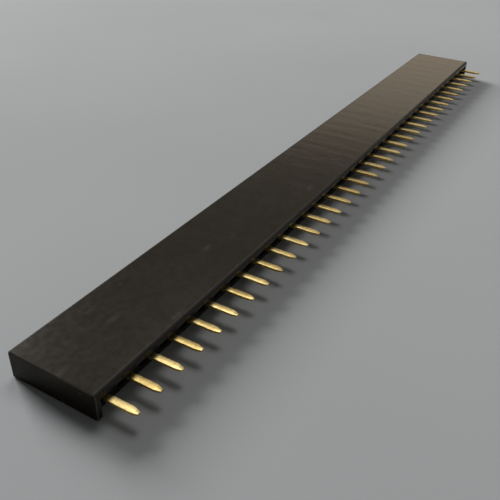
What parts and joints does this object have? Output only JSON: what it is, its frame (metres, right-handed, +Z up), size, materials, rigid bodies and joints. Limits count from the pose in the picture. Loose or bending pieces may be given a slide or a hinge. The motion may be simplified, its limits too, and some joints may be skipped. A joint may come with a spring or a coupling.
{
  "type": "female pin header strip",
  "caption": "Single-row straight female pin header strip: a slim black moulded bar of spring sockets with gold solder tails along one edge.",
  "frame": {"origin": "centre of the bounding box in X and Y, on the surface that the strip lies on", "axes": "+X along the strip, +Y towards the mating face, tails towards -Y, +Z up through the thickness"},
  "size_m": [0.0914, 0.0112, 0.0025],
  "materials": {
    "housing_plastic": "satin moulded plastic, black with a slight warm tint",
    "contact_gold": "bright gold plate on stamped spring bronze"
  },
  "bodies": {
    "root": {"housing": "housing_plastic", "contact_01": "contact_gold", "contact_02": "contact_gold", "contact_03": "contact_gold", "contact_04": "contact_gold", "contact_05": "contact_gold", "contact_06": "contact_gold", "contact_07": "contact_gold", "contact_08": "contact_gold", "contact_09": "contact_gold", "contact_10": "contact_gold", "contact_11": "contact_gold", "contact_12": "contact_gold", "contact_13": "contact_gold", "contact_14": "contact_gold", "contact_15": "contact_gold", "contact_16": "contact_gold", "contact_17": "contact_gold", "contact_18": "contact_gold", "contact_19": "contact_gold", "contact_20": "contact_gold", "contact_21": "contact_gold", "contact_22": "contact_gold", "contact_23": "contact_gold", "contact_24": "contact_gold", "contact_25": "contact_gold", "contact_26": "contact_gold", "contact_27": "contact_gold", "contact_28": "contact_gold", "contact_29": "contact_gold", "contact_30": "contact_gold", "contact_31": "contact_gold", "contact_32": "contact_gold", "contact_33": "contact_gold", "contact_34": "contact_gold", "contact_35": "contact_gold", "contact_36": "contact_gold"}
  },
  "joints": []
}
